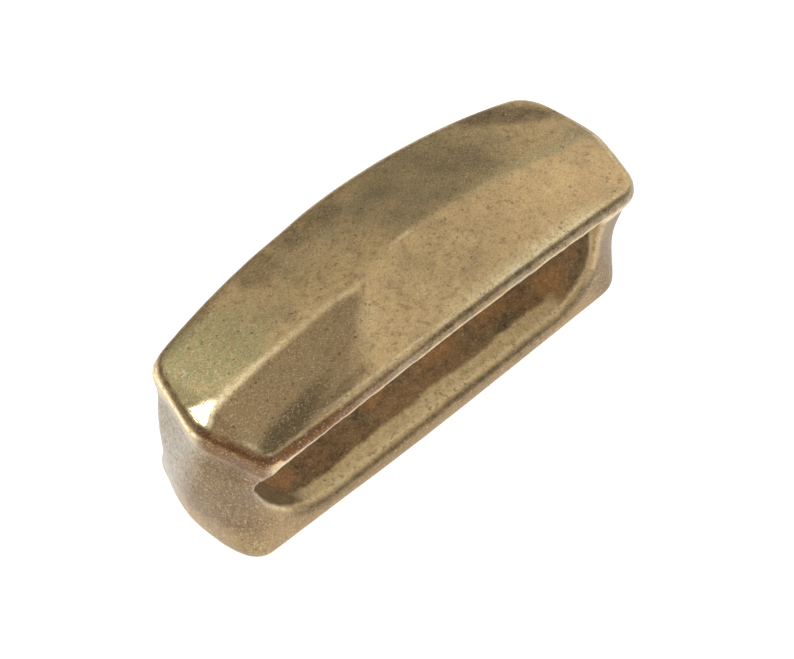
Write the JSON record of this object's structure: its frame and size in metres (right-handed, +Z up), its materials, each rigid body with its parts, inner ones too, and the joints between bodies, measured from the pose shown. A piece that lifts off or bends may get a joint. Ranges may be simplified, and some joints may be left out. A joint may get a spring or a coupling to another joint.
{
  "type": "strap slider",
  "caption": "One-piece cast bronze strap slider: a closed loop with an arched, ridged cap, hollowed end walls and a flat bar, threaded onto a strap or belt to keep its end flat.",
  "frame": {"origin": "middle of the bounding box at the level of the flat underside", "axes": "+X along the loop to the end where the cap overhangs most, +Y the way the strap passes, +Z up from the bar to the ridged cap"},
  "size_m": [0.0398, 0.0145, 0.0148],
  "materials": {
    "patinated_bronze": "worn satin cast bronze with a brown and olive patina"
  },
  "bodies": {
    "root": {"slider_casting": "patinated_bronze"}
  },
  "joints": []
}
